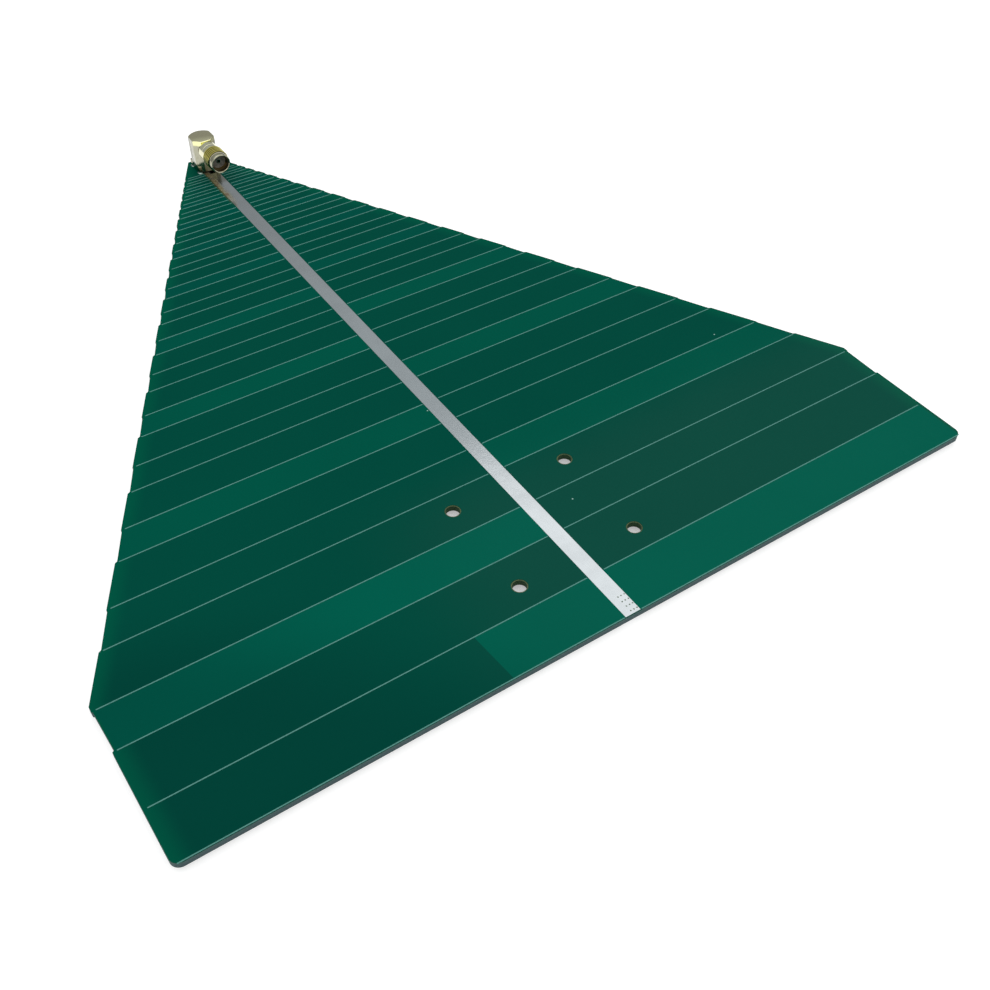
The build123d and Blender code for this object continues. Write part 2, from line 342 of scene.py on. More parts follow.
@dataclass(frozen=True)
class Array:
    """Law of the dipole array, in millimetres of the row frame."""

    apex_x: float = 193.1
    reach: float = 224.2
    ratio: float = 0.8825
    width_share: float = 0.0538
    count: int = 20
    rear_x: float = -31.9
    half_width: float = 100.0
    shoulder_x: float = 7.2
    slope: float = 0.5514
    margin: float = 0.8
    stub_reach: float = 30.5
    stub_taper: float = 1.0
    nearest: float = 0.001
    farthest_share: float = 0.99999

    def copper(self, graph: Graph, face: Face) -> Wire:
        """Where copper lies under the mask.

        Args:
            graph: the graph to build in.
            face: the face of the board.

        Returns:
            1 over copper and 0 over bare laminate.
        """
        x, y, _ = graph.coordinates()
        base = 1.0 / self.ratio
        # The logarithm needs a distance from the apex above zero and inside the law's range.
        reach = (self.apex_x - x).most(self.nearest).least(self.reach * self.farthest_share)
        turn = (self.reach / reach).log(base)
        number = turn.floor()
        share = math.log(1.0 / (1.0 - self.width_share), base)
        inside = ((turn - number) < share) * (number < self.count - 0.5) * (x > self.rear_x)
        even_side = (y * face.value) > 0.0
        odd = number % 2.0
        this_side = abs(even_side - odd)
        if face is Face.UPPER:
            first_front = self.apex_x - self.reach * (1.0 - self.width_share)
            run = first_front - self.rear_x
            stub_end = self.stub_reach - (first_front - x) * (self.stub_taper / run)
            stub = (number < 0.5) * (y > 0.0) * (y < stub_end)
            this_side = this_side.most(stub)
        return inside * this_side * (abs(y) < (self.flank(x) - self.margin))

    def flank(self, x: Wire) -> Wire:
        """Half width of the board at a place along it."""
        return (self.half_width - (x - self.shoulder_x) * self.slope).least(self.half_width)


@dataclass(frozen=True)
class Residue:
    """Flux left along the boom's left edge near the jack, in millimetres of the row frame."""

    rear_x: Span = (151.0, 160.0)
    front_x: Span = (176.0, 179.0)
    middle_y: float = 1.5
    spread: float = 1.25
    core_share: float = 0.35

    def amount(self, graph: Graph) -> Wire:
        """Share of the surface that the residue covers, 0 to 1."""
        x, y, _ = graph.coordinates()
        along = x.fade(*self.rear_x) * (1.0 - x.fade(*self.front_x))
        away = abs(y - self.middle_y)
        across = 1.0 - away.fade(self.spread * self.core_share, self.spread)
        patches = graph.noise(size_mm=2.4, detail=4.0, roughness=0.6).fade(0.30, 0.52)
        return along * across * patches


@dataclass(frozen=True)
class Speck:
    """A pale grain of dust on the mask, in millimetres of the row frame."""

    x: float
    y: float
    radius: float
    core_share: float = 0.5

    def amount(self, graph: Graph) -> Wire:
        """1 on the grain."""
        x, y, _ = graph.coordinates()
        away = ((x - self.x) * (x - self.x) + (y - self.y) * (y - self.y)).root()
        return 1.0 - away.fade(self.radius * self.core_share, self.radius)


@dataclass(frozen=True)
class MaskFinish(Finish):
    """Green solder mask: brighter over copper, with dust and flux residue on the upper face."""

    face: Face = Face.UPPER
    array: Array = field(default_factory=Array)
    residue: Residue = field(default_factory=Residue)
    specks: tuple[Speck, ...] = (
        Speck(1.5, -9.1, 0.24),
        Speck(29.7, -75.5, 0.24),
        Speck(44.7, 2.4, 0.22),
    )
    over_copper: Colour = (0.0, 0.099, 0.065)
    over_copper_ahead: Colour = (0.0, 0.080, 0.052)
    over_copper_jack: Colour = (0.0, 0.070, 0.050)
    over_laminate: Colour = (0.0002, 0.062, 0.042)
    shade: Colour = (0.0, 0.030, 0.024)
    # painted sheen: grey mixed into the mask near the wide end, standing in for a reflection
    painted_sheen: Colour = (0.20, 0.20, 0.20)
    glow: Colour = (0.0, 0.098, 0.052)
    glow_width: float = 5.0
    glow_share: float = 0.55
    dust: Colour = (0.28, 0.46, 0.42)
    stain: Colour = (0.085, 0.070, 0.020)
    stain_share: float = 0.75
    ahead_x: Span = (2.0, 24.0)
    jack_x: Span = (80.0, 130.0)
    wide_end_x: Span = (6.0, 30.0)
    corner_slope: float = 0.9
    corner_reach: Span = (44.0, 86.0)
    corner_share: float = 0.42
    sheen_y: Span = (8.0, 46.0)
    sheen_share: float = 0.020
    sheen_lost_on_copper: float = 0.65
    cloud_share: float = 0.08
    weave_pitch: float = 0.75

    def tone(self, graph: Graph, copper: Wire) -> Wire:
        """Colour of the clean mask, a little paler at the wide end, duller at its left corner,
        with a painted sheen over the wide end.

        Args:
            graph: the graph to build in.
            copper: where copper lies under the mask.

        Returns:
            The colour.
        """
        x, y, _ = graph.coordinates()
        over_copper = graph.mix(x.fade(*self.ahead_x), self.over_copper, self.over_copper_ahead)
        over_copper = graph.mix(x.fade(*self.jack_x), over_copper, self.over_copper_jack)
        tone = graph.mix(copper, self.over_laminate, over_copper)
        wide_end = 1.0 - x.fade(*self.wide_end_x)
        corner = wide_end * (y - x * self.corner_slope).fade(*self.corner_reach)
        tone = graph.mix(corner * self.corner_share, tone, self.shade)
        rim = 1.0 - (self.array.flank(x) - abs(y)).fade(0.0, self.glow_width)
        tone = graph.mix(rim * (1.0 - copper) * self.glow_share, tone, self.glow)
        # painted sheen: a grey reflection over the wide end, away from its left side and weaker
        # over copper
        painted_sheen = wide_end * (1.0 - y.fade(*self.sheen_y)) * (1.0 - copper * self.sheen_lost_on_copper)
        return graph.mix(painted_sheen * self.sheen_share, tone, self.painted_sheen)

    def paint(self, graph: Graph) -> Wire:
        """Builds the mask's shader."""
        copper = self.array.copper(graph, self.face)
        cloud = graph.noise(size_mm=38.0, detail=2.0).fade(0.3, 0.75)
        tone = graph.mix(cloud * self.cloud_share, self.tone(graph, copper), self.shade)
        if self.face is Face.UPPER:
            stain = self.residue.amount(graph) * self.stain_share
            tone = graph.mix(stain, tone, self.stain)
            for speck in self.specks:
                tone = graph.mix(speck.amount(graph), tone, self.dust)
        peel = graph.noise(size_mm=1.1, detail=2.0)
        relief = self.weave(graph) * 0.35 + peel * 0.5 + copper * 0.6
        return graph.shader(
            Base_Color=tone,
            Roughness=0.2 + graph.noise(size_mm=6.0) * 0.16,
            Specular_IOR_Level=0.006,
            Normal=graph.bump(relief, depth_mm=0.012),
        )

    def weave(self, graph: Graph) -> Wire:
        """Faint print-through of the glass cloth under the mask."""
        x, y, _ = graph.coordinates()
        wave = math.tau / self.weave_pitch
        return (x * wave).sine() * (y * wave).sine() * 0.5 + 0.5


@dataclass(frozen=True)
class LaminateFinish(Finish):
    """Glass-fibre laminate: cut edges show its plies and a painted highlight along their top, bare
    faces are dark olive, and bores are painted dark as shade.
    """

    ply_mm: float = 0.18
    face_colour: Colour = (0.075, 0.105, 0.040)
    face_dark: Colour = (0.045, 0.075, 0.030)
    edge_light: Colour = (0.080, 0.139, 0.150)
    edge_dark: Colour = (0.046, 0.077, 0.084)
    # painted highlight along the upper part of the cut edges
    painted_edge_highlight: Colour = (0.066, 0.165, 0.140)
    # painted shade on the walls of the mounting holes
    painted_bore_shade: Colour = (0.022, 0.060, 0.022)
    bore_reach_x: float = 18.0
    bore_reach_y: float = 20.0
    highlight_z: Span = (0.5, 1.3)
    highlight_share: float = 0.5

    def paint(self, graph: Graph) -> Wire:
        """Builds the laminate's shader."""
        x, y, z = graph.coordinates()
        normal = graph.node("ShaderNodeNewGeometry", None, None, "Normal")
        upright = abs(graph.node("ShaderNodeSeparateXYZ", None, {0: normal}, "Z"))
        torn = graph.noise(size_mm=0.5, detail=4.0, roughness=0.7)
        plies = ((z + torn * 0.1) * (math.tau / self.ply_mm)).sine()
        bright = (plies * 0.3 + 0.35 + torn * 0.4).fade(0.1, 1.0)
        edge = graph.mix(bright, self.edge_dark, self.edge_light)
        # painted highlight: the upper part of every cut edge is drawn lighter and greener
        edge = graph.mix(z.fade(*self.highlight_z) * self.highlight_share, edge, self.painted_edge_highlight)
        # painted shade: the hole walls near the middle of the board are drawn dark
        bored = (abs(x) < self.bore_reach_x) * (abs(y) < self.bore_reach_y)
        edge = graph.mix(bored, edge, self.painted_bore_shade)
        fibre = graph.noise(size_mm=0.9).fade(0.3, 0.7)
        bare = graph.mix(fibre, self.face_colour, self.face_dark)
        return graph.shader(
            Base_Color=graph.mix(upright.fade(0.4, 0.8), edge, bare),
            Roughness=0.55 + torn * 0.25,
            Specular_IOR_Level=0.3,
            Normal=graph.bump(plies * 0.3 + torn * 0.7, depth_mm=0.03),
        )


@dataclass(frozen=True)
class TinFinish(Finish):
    """Levelled tin on copper: dull, slightly wavy, with flux residue near the jack and a painted
    reflection of the gold barrel along the boom under it.
    """

    clean: Colour = (0.475, 0.505, 0.52)
    dull: Colour = (0.40, 0.425, 0.44)
    stain: Colour = (0.19, 0.16, 0.065)
    amber: Colour = (0.13, 0.075, 0.028)
    # painted reflection of the jack's gold barrel in the tin
    painted_barrel_reflection: Colour = (0.13, 0.11, 0.035)
    reflection_x: Span = (165.0, 167.5)
    reflection_share: float = 0.5
    stain_share: float = 0.9
    residue: Residue = field(default_factory=Residue)

    def paint(self, graph: Graph) -> Wire:
        """Builds the tin's shader."""
        patches = graph.noise(size_mm=5.0, detail=4.0, roughness=0.6)
        grain = graph.noise(size_mm=0.35)
        stain = self.residue.amount(graph)
        x, _, _ = graph.coordinates()
        tone = graph.mix(patches.fade(0.35, 0.7) * 0.45, self.clean, self.dull)
        # painted reflection: olive laid over the boom under the jack
        tone = graph.mix(x.fade(*self.reflection_x) * self.reflection_share, tone, self.painted_barrel_reflection)
        flux = graph.mix(graph.noise(size_mm=1.3).fade(0.48, 0.6), self.stain, self.amber)
        return graph.shader(
            Base_Color=graph.mix(stain * self.stain_share, tone, flux),
            Metallic=1.0 - stain * 0.75,
            Roughness=0.09 + patches * 0.10 + stain * 0.25,
            Normal=graph.bump(patches * 0.7 + grain * 0.3, depth_mm=0.02),
        )


@dataclass(frozen=True)
class ViaFinish(Finish):
    """Vias painted pale, lighter than the shade in their deep bores would leave them."""

    colour: Colour = (0.62, 0.68, 0.64)
    worn: Colour = (0.48, 0.55, 0.50)

    def paint(self, graph: Graph) -> Wire:
        """Builds the vias' shader."""
        patches = graph.noise(size_mm=0.4)
        return graph.shader(
            # painted light: the pale colour lifts the shade inside the deep vias
            Base_Color=graph.mix(patches.fade(0.35, 0.7), self.colour, self.worn),
            Roughness=0.4 + patches * 0.2,
            Normal=graph.bump(patches, depth_mm=0.01),
        )


@dataclass(frozen=True)
class PrintFinish(Finish):
    """Pale legend ink, thin enough for the mask's green to tint it."""

    ink: Colour = (0.082, 0.25, 0.215)
    thin: Colour = (0.055, 0.20, 0.17)

    def paint(self, graph: Graph) -> Wire:
        """Builds the ink's shader."""
        grain = graph.noise(size_mm=0.5, roughness=0.7)
        return graph.shader(
            Base_Color=graph.mix(grain.fade(0.4, 0.75), self.ink, self.thin),
            Roughness=0.55 + grain * 0.2,
            Specular_IOR_Level=0.25,
            Normal=graph.bump(grain, depth_mm=0.01),
        )


@dataclass(frozen=True)
class GoldFinish(Finish):
    """Pale gold plating over turned brass, tarnished here and there."""

    bright: Colour = (0.43, 0.42, 0.32)
    tarnish: Colour = (0.27, 0.26, 0.16)

    def tone(self, graph: Graph, patches: Wire) -> Wire:
        """Colour of the plating, from clean to tarnished."""
        return graph.mix(patches.fade(0.42, 0.72) * 0.6, self.bright, self.tarnish)

    def paint(self, graph: Graph) -> Wire:
        """Builds the plating's shader."""
        patches = graph.noise(size_mm=2.2, detail=4.0, roughness=0.6)
        turned = graph.noise(size_mm=0.18, detail=2.0)
        return graph.shader(
            Base_Color=self.tone(graph, patches),
            Metallic=1.0,
            Roughness=0.06 + patches * 0.14,
            Normal=graph.bump(turned * 0.4 + patches * 0.6, depth_mm=0.012),
        )


@dataclass(frozen=True)
class BodyFinish(GoldFinish):
    """Gold plating with a painted highlight at the top of the column's front, painted shade on its
    right cut, and painted shade and reflection of the board at its foot.

    Places are in millimetres of the row frame.
    """

    front_x: float = 175.2
    collar_x: float = 173.0
    right_y: float = -1.5
    bright_z: Span = (10.1, 10.8)
    foot_z: Span = (3.7, 4.9)
    crown_z: float = 11.75
    right_share: float = 0.85
    foot_shade_share: float = 0.6
    # painted highlight near the top of the column's front and cut faces
    painted_highlight: Colour = (0.97, 0.95, 0.50)
    shadowed: Colour = (0.10, 0.10, 0.06)
    # painted shade and reflection of the board on the column's foot
    foot: Colour = (0.22, 0.21, 0.10)
    crown: Colour = (0.60, 0.56, 0.36)
    collar: Colour = (0.80, 0.78, 0.56)

    def tone(self, graph: Graph, patches: Wire) -> Wire:
        """Colour of the plating by place on the body."""
        x, y, z = graph.coordinates()
        ahead = x < self.collar_x
        front = (x < self.front_x) * (1.0 - ahead)
        right = front * (y < self.right_y)
        tone = super().tone(graph, patches)
        # painted highlight: the top of the front faces drawn bright yellow
        tone = graph.mix(front * z.fade(*self.bright_z), tone, self.painted_highlight)
        tone = graph.mix(right * self.right_share, tone, self.shadowed)
        # painted shade: the foot of the column drawn dark olive, for shade and the board's
        # reflection
        tone = graph.mix((1.0 - z.fade(*self.foot_z)) * self.foot_shade_share, tone, self.foot)
        tone = graph.mix(z > self.crown_z, tone, self.crown)
        return graph.mix(ahead, tone, self.collar)


@dataclass(frozen=True)
class BarrelFinish(GoldFinish):
    """Gold plating that is yellower on the thread, with painted shade in the thread's grooves and
    inside the bore.

    Places are in millimetres of the row frame.
    """

    thread_rear_x: float = 169.3
    thread_front_x: float = 165.6
    axis_z: float = 8.9
    ridge: Span = (3.00, 3.16)
    inner_radius: float = 2.45
    yellow: Colour = (0.58, 0.53, 0.14)
    # painted shade in the thread's grooves
    groove: Colour = (0.045, 0.038, 0.008)
    neck: Colour = (0.80, 0.78, 0.56)
    # painted shade on the inner wall of the bore
    inside: Colour = (0.16, 0.13, 0.07)

    def tone(self, graph: Graph, patches: Wire) -> Wire:
        """Colour of the plating by place on the barrel."""
        x, y, z = graph.coordinates()
        radius = (y * y + (z - self.axis_z) * (z - self.axis_z)).root()
        # ridges yellow, grooves painted dark as shade
        ridge = graph.mix(radius.fade(*self.ridge), self.groove, self.yellow)
        threaded = (x > self.thread_front_x) * (x < self.thread_rear_x)
        plain = graph.mix(x > self.thread_rear_x, super().tone(graph, patches), self.neck)
        outer = graph.mix(threaded, plain, ridge)
        # painted shade: inside the bore the plating is drawn dark
        return graph.mix(radius < self.inner_radius, outer, self.inside)


@dataclass(frozen=True)
class InsulatorFinish(Finish):
    """Dark grey insulator with turning marks."""

    light: Colour = (0.23, 0.215, 0.18)
    dark: Colour = (0.12, 0.11, 0.095)

    def paint(self, graph: Graph) -> Wire:
        """Builds the insulator's shader."""
        patches = graph.noise(size_mm=0.9, detail=4.0, roughness=0.6)
        return graph.shader(
            Base_Color=graph.mix(patches.fade(0.35, 0.7), self.light, self.dark),
            Roughness=0.45 + patches * 0.2,
            Normal=graph.bump(patches, depth_mm=0.02),
        )


@dataclass(frozen=True)
class SolderFinish(Finish):
    """Solder: pale at the pads, with painted shade up the legs under the jack, in millimetres of
    the row frame.
    """

    bright: Colour = (0.24, 0.32, 0.29)
    skin: Colour = (0.12, 0.15, 0.13)
    # painted shade on the fillets' tops under the jack's base
    crown: Colour = (0.03, 0.055, 0.04)
    crown_z: Span = (1.62, 1.77)

    def paint(self, graph: Graph) -> Wire:
        """Builds the solder's shader."""
        patches = graph.noise(size_mm=0.8, detail=4.0, roughness=0.6)
        _, _, z = graph.coordinates()
        tone = graph.mix(patches.fade(0.4, 0.75) * 0.7, self.bright, self.skin)
        return graph.shader(
            # painted shade: the fillets darken as they climb the legs under the jack
            Base_Color=graph.mix(z.fade(*self.crown_z), tone, self.crown),
            Metallic=1.0,
            Roughness=0.16 + patches * 0.2,
            Normal=graph.bump(patches, depth_mm=0.03),
        )


@dataclass(frozen=True)
class FloorFinish(Finish):
    """White studio floor that keeps a soft shadow, in millimetres of the row frame.

    Its glow is lower right under the mounting holes: a painted shadow where the board covers it.
    """

    colour: Colour = (0.45, 0.45, 0.45)
    worn: Colour = (0.43, 0.43, 0.43)
    worn_share: float = 0.02
    lift: float = 0.68
    # painted shadow of the board on the floor under it
    painted_board_shadow: Colour = (0.60, 0.60, 0.60)
    board_shadow_reach: Span = (24.0, 30.0)

    def paint(self, graph: Graph) -> Wire:
        """Builds the floor's shader."""
        faint = graph.noise(size_mm=60.0, detail=2.0)
        x, y, _ = graph.coordinates()
        # painted shadow: the floor's glow is dimmed inside the board's outline
        away = (x * x + y * y).root().fade(*self.board_shadow_reach)
        shine = graph.mix(away, self.painted_board_shadow, WHITE)
        return graph.shader(
            Base_Color=graph.mix(faint * self.worn_share, self.colour, self.worn),
            Roughness=0.9,
            Specular_IOR_Level=0.0,
            Emission_Color=graph.mix(graph.seen(), BLACK, shine),
            Emission_Strength=self.lift,
        )


@dataclass(frozen=True)
class CardFinish(Finish):
    """Grey card that glows as dimly as the room, and brighter up next to the lamp.

    Places are in millimetres of the row frame.
    """

    colour: Colour = (0.36, 0.375, 0.38)
    bright: Colour = (0.56, 0.60, 0.61)
    ceiling: Colour = (0.30, 0.31, 0.31)
    base: Colour = (0.02, 0.02, 0.02)
    bright_z: Span = (520.0, 800.0)
    ceiling_z: float = 1005.0

    def paint(self, graph: Graph) -> Wire:
        """Builds the card's shader."""
        _, _, z = graph.coordinates()
        glow = graph.mix(z.fade(*self.bright_z), self.colour, self.bright)
        glow = graph.mix(z > self.ceiling_z, glow, self.ceiling)
        return graph.shader(
            Base_Color=self.base,
            Roughness=0.9,
            Specular_IOR_Level=0.0,
            Emission_Color=glow,
            Emission_Strength=1.0,
        )


class Finishes(enum.Enum):
    """Every finish of the antenna."""

    UPPER_MASK = MaskFinish("solder_mask_upper", Slot.MASK, Face.UPPER)
    LOWER_MASK = MaskFinish("solder_mask_lower", Slot.MASK, Face.LOWER)
    LAMINATE = LaminateFinish("glass_fibre_laminate", Slot.LAMINATE)
    TIN = TinFinish("levelled_tin", Slot.TIN)
    VIAS = ViaFinish("pale_vias", Slot.TIN)
    PRINT = PrintFinish("legend_ink", Slot.PRINT)
    GOLD = GoldFinish("gold_plating", Slot.GOLD)
    BODY = BodyFinish("gold_plating_body", Slot.GOLD)
    BARREL = BarrelFinish("gold_plating_barrel", Slot.GOLD)
    INSULATOR = InsulatorFinish("dark_insulator", Slot.INSULATOR)
    SOLDER = SolderFinish("solder_metal", Slot.SOLDER)


class Shape:
    """A mesh in the making, in millimetres of the row frame."""

    def __init__(self) -> None:
        """Starts with an empty mesh."""
        self.mesh = bmesh.new()

    def turned(self, profile: list[Span], centre: Vector, axis: Vector, steps: int) -> None:
        """Adds a closed shape turned about an axis.

        Args:
            profile: closed outline as (distance along the axis, radius).
            centre: point on the axis from which distances count.
            axis: unit vector along the axis.
            steps: faces round the axis.
        """
        out = axis.orthogonal().normalized()
        corners = [
            self.mesh.verts.new(centre + axis * along + out * radius) for along, radius in profile
        ]
        edges = [
            self.mesh.edges.new((corner, corners[(place + 1) % len(corners)]))
            for place, corner in enumerate(corners)
        ]
        bmesh.ops.spin(
            self.mesh,
            geom=corners + edges,
            cent=centre,
            axis=axis,
            angle=math.tau,
            steps=steps,
            use_merge=True,
        )

    def prism(self, outline: list[Span], low: float, high: float, edge: float) -> None:
        """Adds an upright prism with its top and upright edges rounded.

        Args:
            outline: corners as (x, y).
            low: height of its foot.
            high: height of its top.
            edge: radius of the rounded edges.
        """
        corners = [self.mesh.verts.new((x, y, low)) for x, y in outline]
        foot = self.mesh.faces.new(corners)
        grown = bmesh.ops.extrude_face_region(self.mesh, geom=[foot], use_keep_orig=True)
        top = [item for item in grown["geom"] if isinstance(item, bmesh.types.BMVert)]
        bmesh.ops.translate(self.mesh, vec=(0.0, 0.0, high - low), verts=top)
        rim = [item for item in grown["geom"] if isinstance(item, bmesh.types.BMEdge)]
        bmesh.ops.bevel(
            self.mesh,
            geom=rim,
            offset=edge,
            offset_type="OFFSET",
            affect="EDGES",
            segments=3,
            profile=0.5,
            material=-1,
        )

    def finished(self, name: str, finish: Finish) -> bpy.types.Object:
        """Closes the mesh and makes it a piece on the root body.

        Args:
            name: the piece's name.
            finish: what it is finished in.

        Returns:
            The piece.
        """
        bmesh.ops.remove_doubles(self.mesh, verts=self.mesh.verts, dist=WELD_MM)
        bmesh.ops.recalc_face_normals(self.mesh, faces=self.mesh.faces)
        bmesh.ops.scale(self.mesh, vec=(MM, MM, MM), verts=self.mesh.verts)
        data = bpy.data.meshes.new(name)
        self.mesh.to_mesh(data)
        self.mesh.free()
        data.shade_smooth()
        data.set_sharp_from_angle(angle=SMOOTH_BELOW)
        piece = bpy.data.objects.new(name, data)
        bpy.context.scene.collection.objects.link(piece)
        finish.dress(piece)
        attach(piece, ROOT)
        LOG.info("%s built with %d faces", name, len(data.polygons))
        return piece


@dataclass
class Board:
    """The board: laminate, masks, tinned copper, vias and printed lines, all carried over."""

    nodes: dict[str, bpy.types.Object]

    def dress(self) -> None:
        """Finishes every node of the board."""
        for node, finish in {
            "laminate": Finishes.LAMINATE,
            "top_mask": Finishes.UPPER_MASK,
            "bottom_mask": Finishes.LOWER_MASK,
            "top_copper": Finishes.TIN,
            "bottom_copper": Finishes.TIN,
            "rear_vias": Finishes.VIAS,
            "outline_print": Finishes.PRINT,
        }.items():
            finish.value.dress(self.nodes[node])


@dataclass
class Jack:
    """The right-angle jack, with sizes in millimetres."""

    nodes: dict[str, bpy.types.Object]
    steps: int = 64
    base_thickness: float = 1.6
    base_side: float = 6.4
    leg_pitch: float = 5.08
    leg_side: float = 0.9
    leg_edge: float = 0.06
    half_width: float = 3.4
    corner_cut: float = 1.8
    corner_reach: float = 1.2
    rear_reach: float = 3.0
    front_reach: float = 4.0
    edge: float = 0.22
    standoff: float = 0.6
    board_top: float = 1.5
    collar_radius: float = 2.85
    collar_length: float = 2.4
    collar_edge: float = 0.12
    root_width: float = 0.6
    root_radius: float = 2.5
    spigot_radius: float = 2.45
    bore_radius: float = 2.05
    thread_radius: float = 3.175
    thread_root: float = 2.74
    neck_radius: float = 2.85
    neck_length: float = 1.6
    thread_pitch: float = 0.7056
    crest_share: Span = (0.40, 0.60)
    root_share: Span = (0.06, 0.94)
    groove_radius: float = 2.65
    groove_length: float = 0.5
    ring_radius: float = 2.9
    ring_length: float = 1.5
    ring_edge: float = 0.14
    mouth_radius: float = 2.4
    mouth_depth: float = 1.9

    def centre_x(self) -> float:
        """Place of the centre pin along the board."""
        low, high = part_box("feed_pin")
        return (low.x + high.x) / 2 / MM

    def axis_z(self) -> float:
        """Height of the barrel's axis."""
        low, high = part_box("jack_barrel")
        return (low.z + high.z) / 2 / MM

    def build(self) -> None:
        """Builds the body and the threaded barrel, and finishes the inner pieces."""
        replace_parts(self.body(), "jack_body")
        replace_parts(self.barrel(), "jack_barrel")
        Finishes.INSULATOR.value.dress(self.nodes["barrel_insulator"])
        Finishes.INSULATOR.value.dress(self.nodes["pin_insulator"])
        Finishes.GOLD.value.dress(self.nodes["centre_contact"])
        Finishes.GOLD.value.dress(self.nodes["feed_pin"])

    def body(self) -> bpy.types.Object:
        """Column, base plate, collar and legs as one cast piece."""
        low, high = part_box("jack_body")
        top = high.z / MM
        tail = low.z / MM
        middle = self.centre_x()
        foot = self.board_top + self.standoff
        front = middle - self.front_reach
        outline = [
            (front + self.corner_cut, -self.half_width),
            (front, -self.half_width + self.corner_cut),
            (front, self.half_width - self.corner_cut),
            (front + self.corner_cut, self.half_width),
        ]
        outline += self.rear_bow(middle)
        shape = Shape()
        shape.prism(outline, foot, top, self.edge)
        side = self.base_side / 2
        plate = [
            (middle - side, -side),
            (middle - side, side),
            (middle + side, side),
            (middle + side, -side),
        ]
        shape.prism(plate, foot, foot + self.base_thickness, self.edge)
        leg = self.leg_side / 2
        for x_way in (-1, 1):
            for y_way in (-1, 1):
                x = middle + x_way * self.leg_pitch / 2
                y = y_way * self.leg_pitch / 2
                square = [
                    (x - leg, y - leg),
                    (x - leg, y + leg),
                    (x + leg, y + leg),
                    (x + leg, y - leg),
                ]
                shape.prism(square, tail, foot + self.edge, self.leg_edge)
        collar_end = -self.front_reach - self.collar_length
        root_end = -self.front_reach - self.root_width
        rear_end = -self.front_reach + self.corner_cut
        soft = self.collar_edge
        collar = [
            (collar_end, self.spigot_radius),
            (collar_end, self.collar_radius - soft),
            (collar_end + soft, self.collar_radius),
            (root_end, self.collar_radius),
            (root_end, self.root_radius),
            (rear_end, self.root_radius),
            (rear_end, self.spigot_radius),
        ]
        centre = Vector((middle, 0.0, self.axis_z()))
        shape.turned(collar, centre, Vector((1.0, 0.0, 0.0)), self.steps)
        return shape.finished("jack_body_plated", Finishes.BODY.value)

    def rear_bow(self, middle: float) -> list[Span]:
        """Bowed rear face of the column, from its left corner to its right one.

        Args:
            middle: place of the centre pin along the board.

        Returns:
            Points as (x, y).
        """
        rise = self.rear_reach - self.corner_reach
        radius = (self.half_width**2 + rise**2) / (2 * rise)
        spread = math.asin(self.half_width / radius)
        centre = middle + self.rear_reach - radius
        count = self.steps // 4
        angles = [spread * (1 - 2 * step / count) for step in range(count + 1)]
        return [(centre + radius * math.cos(turn), radius * math.sin(turn)) for turn in angles]

    def barrel(self) -> bpy.types.Object:
        """Spigot, plain neck, thread, groove and mouth ring."""
        low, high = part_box("jack_barrel")
        mouth = low.x / MM
        end = high.x / MM
        ring_end = mouth + self.ring_length
        groove_end = ring_end + self.groove_length
        collar = self.centre_x() - self.front_reach - self.collar_length
        thread_start = collar - self.neck_length
        profile = [
            (end, self.bore_radius),
            (end, self.spigot_radius),
            (collar, self.spigot_radius),
            (collar, self.neck_radius),
            (thread_start, self.neck_radius),
        ]
        profile += self.thread_profile(thread_start, groove_end)
        soft = self.ring_edge
        profile += [
            (groove_end, self.groove_radius),
            (ring_end, self.groove_radius),
            (ring_end, self.ring_radius - soft),
            (ring_end - soft, self.ring_radius),
            (mouth + soft * 2, self.ring_radius),
            (mouth + soft * 0.6, self.ring_radius - soft * 0.6),
            (mouth, self.ring_radius - soft * 2),
            (mouth, self.mouth_radius + soft),
            (mouth + soft, self.mouth_radius),
            (mouth + self.mouth_depth, self.mouth_radius),
            (mouth + self.mouth_depth, self.bore_radius),
        ]
        shape = Shape()
        centre = Vector((0.0, 0.0, self.axis_z()))
        shape.turned(profile, centre, Vector((1.0, 0.0, 0.0)), self.steps)
        return shape.finished("jack_barrel_threaded", Finishes.BARREL.value)

    def thread_profile(self, start: float, end: float) -> list[Span]:
        """Ridges of the thread, from the neck to the groove.

        Args:
            start: where the thread begins along the axis.
            end: where it ends, nearer the mouth.

        Returns:
            Points of (distance, radius).
        """
        turns = int((start - end) / self.thread_pitch)
        pitch = (start - end) / turns
        points = []
        for turn in range(turns):
            place = start - turn * pitch
            points += [
                (place - pitch * self.root_share[0], self.thread_root),
                (place - pitch * self.crest_share[0], self.thread_radius),
                (place - pitch * self.crest_share[1], self.thread_radius),
                (place - pitch * self.root_share[1], self.thread_root),
            ]
        return points


